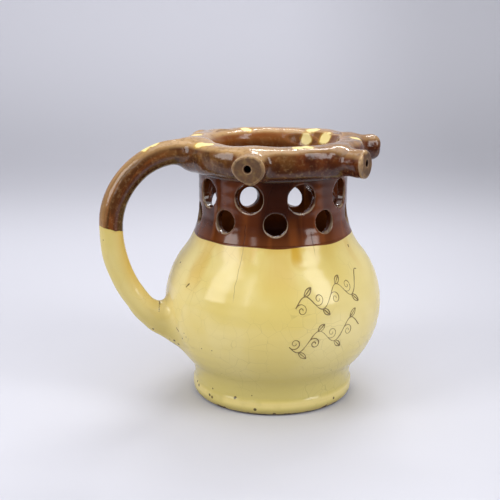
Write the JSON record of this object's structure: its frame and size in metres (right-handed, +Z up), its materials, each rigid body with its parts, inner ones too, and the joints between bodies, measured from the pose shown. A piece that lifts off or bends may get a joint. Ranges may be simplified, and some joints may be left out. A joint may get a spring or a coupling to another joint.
{
  "type": "puzzle jug",
  "caption": "Glazed earthenware puzzle jug: round belly, pierced neck, hollow rim with drinking spouts, and a hollow handle that feeds the rim.",
  "frame": {"origin": "middle of the foot's underside, on the table", "axes": "+Z up along the jug's turning axis, -X towards the handle, +X towards the front spout opposite it"},
  "size_m": [0.1825, 0.138, 0.1668],
  "materials": {
    "honey_glaze": "gloss",
    "brown_glaze": "gloss",
    "handle_glaze": "gloss"
  },
  "bodies": {
    "root": {"thrown_belly": "honey_glaze", "pierced_neck": "brown_glaze", "hollow_rim": "brown_glaze", "rim_luting": "brown_glaze", "front_spout": "brown_glaze", "right_front_spout": "brown_glaze", "right_back_spout": "brown_glaze", "left_back_spout": "brown_glaze", "handle": "handle_glaze", "handle_top_luting": "brown_glaze", "handle_root_luting": "honey_glaze", "front_spout_luting": "brown_glaze", "right_front_spout_luting": "brown_glaze", "right_back_spout_luting": "brown_glaze", "left_back_spout_luting": "brown_glaze"}
  },
  "joints": []
}
